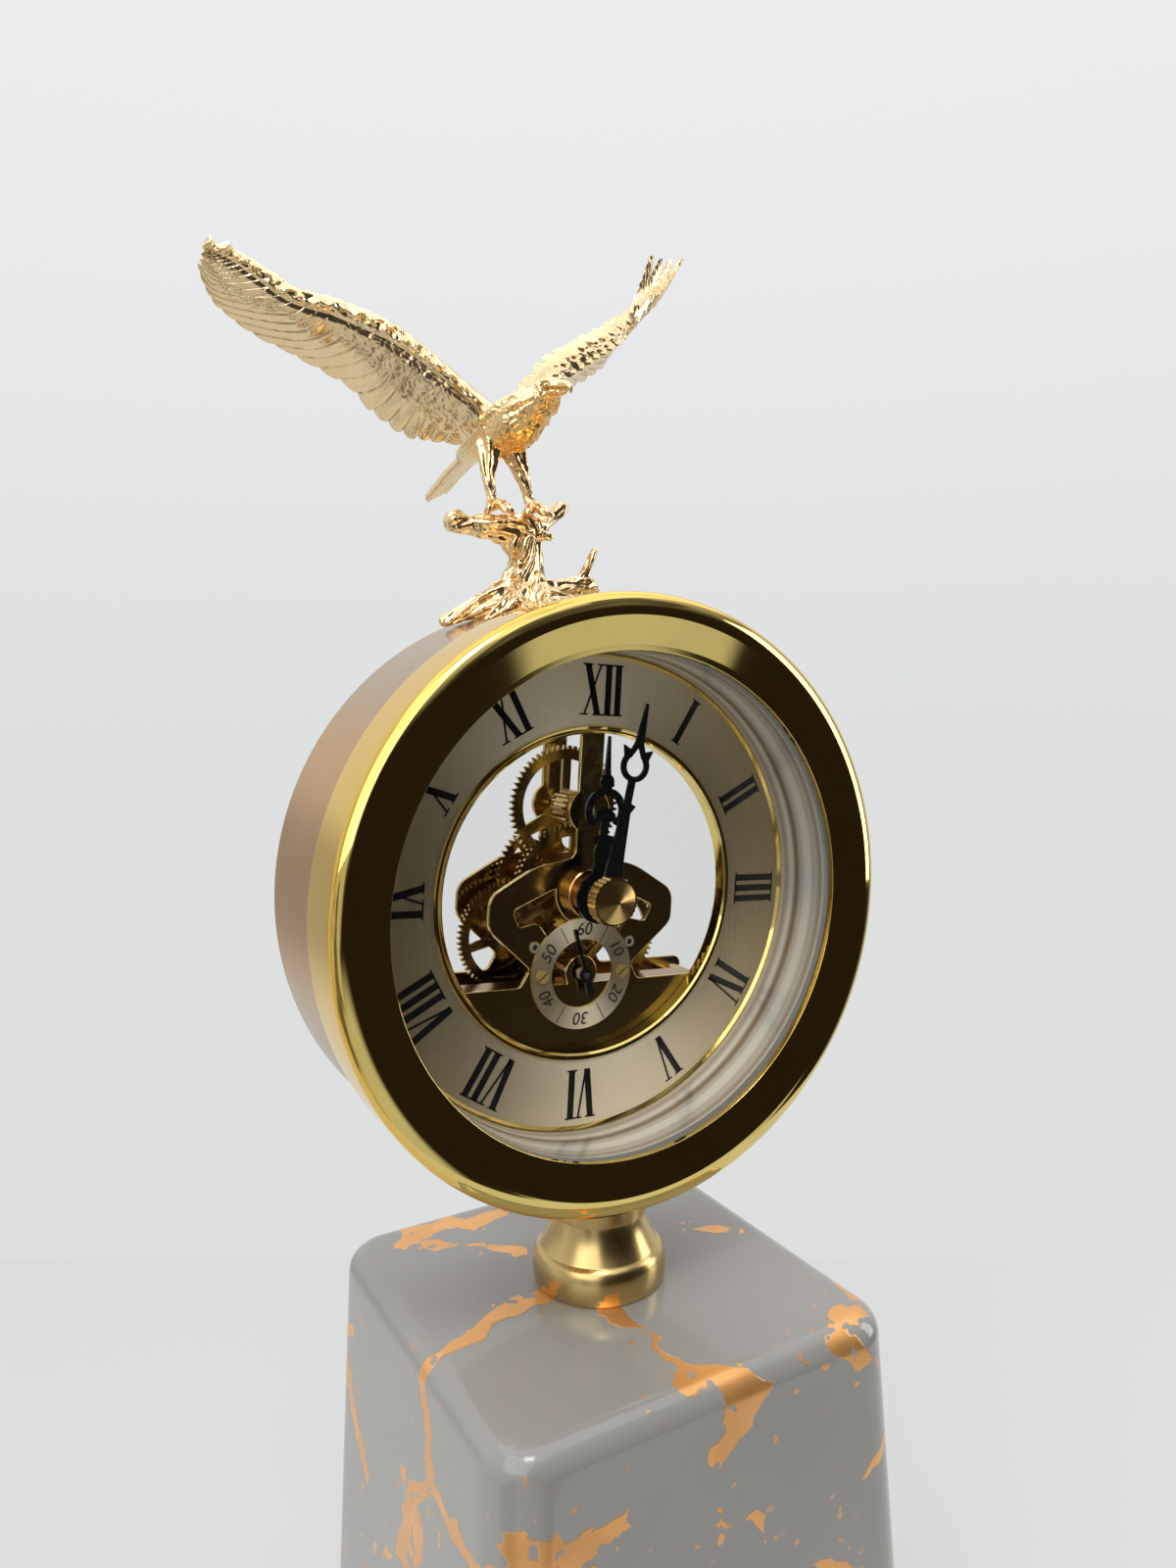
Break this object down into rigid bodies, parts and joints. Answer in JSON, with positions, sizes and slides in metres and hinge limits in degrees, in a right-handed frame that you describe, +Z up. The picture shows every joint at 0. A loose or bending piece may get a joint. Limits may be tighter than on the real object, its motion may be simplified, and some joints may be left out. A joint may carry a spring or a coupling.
{
  "type": "clock with eagle sculpture",
  "caption": "Table clock: glazed ceramic plinth, turned collar, round gilt case with open gear train and Roman dial, cast eagle with raised wings on a tree stump above.",
  "frame": {"origin": "centre of the plinth's underside, on the surface that the clock stands on", "axes": "+Z up, -Y out of the dial towards the viewer, +X to the viewer's right"},
  "size_m": [0.1693, 0.13, 0.4471],
  "materials": {
    "ceramic_glaze": "glossy grey glaze with copper foil veins",
    "board": "plain board",
    "felt": "dark felt",
    "satin_brass": "satin turned brass",
    "steel": "bright steel",
    "champagne": "satin champagne gold plating",
    "polished_gold": "mirror-polished gold plating",
    "clear_glass": "clear",
    "dark_carrier": "matte dark moulding",
    "dial_silver": "brushed champagne silver",
    "gear_brass": "machined brass",
    "copper": "polished copper-coloured brass",
    "black_hands": "gloss black",
    "black_knob": "black moulding",
    "cell_wrap": "plain dark wrap",
    "gilt_casting": "polished light gold casting"
  },
  "bodies": {
    "stand": {"ceramic_base": "ceramic_glaze", "bottom_board": "board", "base_felt": "felt", "neck_collar": "satin_brass", "neck_stud": "steel", "base_washer": "steel", "base_nut": "steel", "pillar_screws": "steel", "pivot_bushes": "steel", "stump_screw": "steel", "battery_contacts": "steel", "case_drum": "champagne", "rear_ring": "champagne", "bezel": "polished_gold", "inner_ring": "polished_gold", "dial_outer_trim": "polished_gold", "dial_inner_trim": "polished_gold", "front_plate": "polished_gold", "back_plate": "polished_gold", "front_glass": "clear_glass", "rear_glass": "clear_glass", "carrier_ring": "dark_carrier", "motor_case": "dark_carrier", "chapter_ring": "dial_silver", "seconds_dial": "dial_silver", "dial_feet": "gear_brass", "plate_pillars": "gear_brass", "back_bushes": "gear_brass", "seconds_dial_screws": "gear_brass", "hour_bush": "copper", "battery": "cell_wrap", "eagle_body": "gilt_casting", "eagle_right_wing": "gilt_casting", "eagle_left_wing": "gilt_casting", "tree_stump": "gilt_casting"},
    "minute_works": {"minute_arbor": "gear_brass", "minute_wheel": "gear_brass", "minute_hand": "black_hands", "hand_nut": "gear_brass", "setting_knob": "black_knob"},
    "hour_works": {"hour_wheel": "gear_brass", "hour_hand": "black_hands"},
    "upper_works": {"upper_arbor": "gear_brass", "upper_wheel": "gear_brass"},
    "left_works": {"left_arbor": "gear_brass", "left_wheel": "gear_brass"},
    "right_works": {"right_arbor": "gear_brass", "right_wheel": "gear_brass"},
    "seconds_works": {"second_arbor": "steel", "second_hand": "black_hands"}
  },
  "joints": [
    {"name": "minute_hinge", "type": "hinge", "parent": "stand", "child": "minute_works", "pos_m": [0, 0.0026, 0.2584], "axis": [0, 1, 0], "continuous": true},
    {"name": "hour_hinge", "type": "hinge", "parent": "stand", "child": "hour_works", "pos_m": [0, 0.0026, 0.2584], "axis": [0, 1, 0], "continuous": true},
    {"name": "upper_hinge", "type": "hinge", "parent": "stand", "child": "upper_works", "pos_m": [0.00176, 0.0026, 0.28073], "axis": [0, 1, 0], "continuous": true},
    {"name": "left_hinge", "type": "hinge", "parent": "stand", "child": "left_works", "pos_m": [-0.01607, 0.0026, 0.24507], "axis": [0, 1, 0], "continuous": true},
    {"name": "right_hinge", "type": "hinge", "parent": "stand", "child": "right_works", "pos_m": [0.01379, 0.0026, 0.24272], "axis": [0, 1, 0], "continuous": true},
    {"name": "seconds_hinge", "type": "hinge", "parent": "stand", "child": "seconds_works", "pos_m": [-0.00177, 0.0026, 0.23587], "axis": [0, 1, 0], "continuous": true}
  ],
  "couplings": [
    {"joint": "hour_hinge", "follows": "minute_hinge", "ratio": 0.083333},
    {"joint": "upper_hinge", "follows": "minute_hinge", "ratio": -0.33333},
    {"joint": "left_hinge", "follows": "minute_hinge", "ratio": -8},
    {"joint": "right_hinge", "follows": "minute_hinge", "ratio": -8},
    {"joint": "seconds_hinge", "follows": "minute_hinge", "ratio": 60}
  ]
}
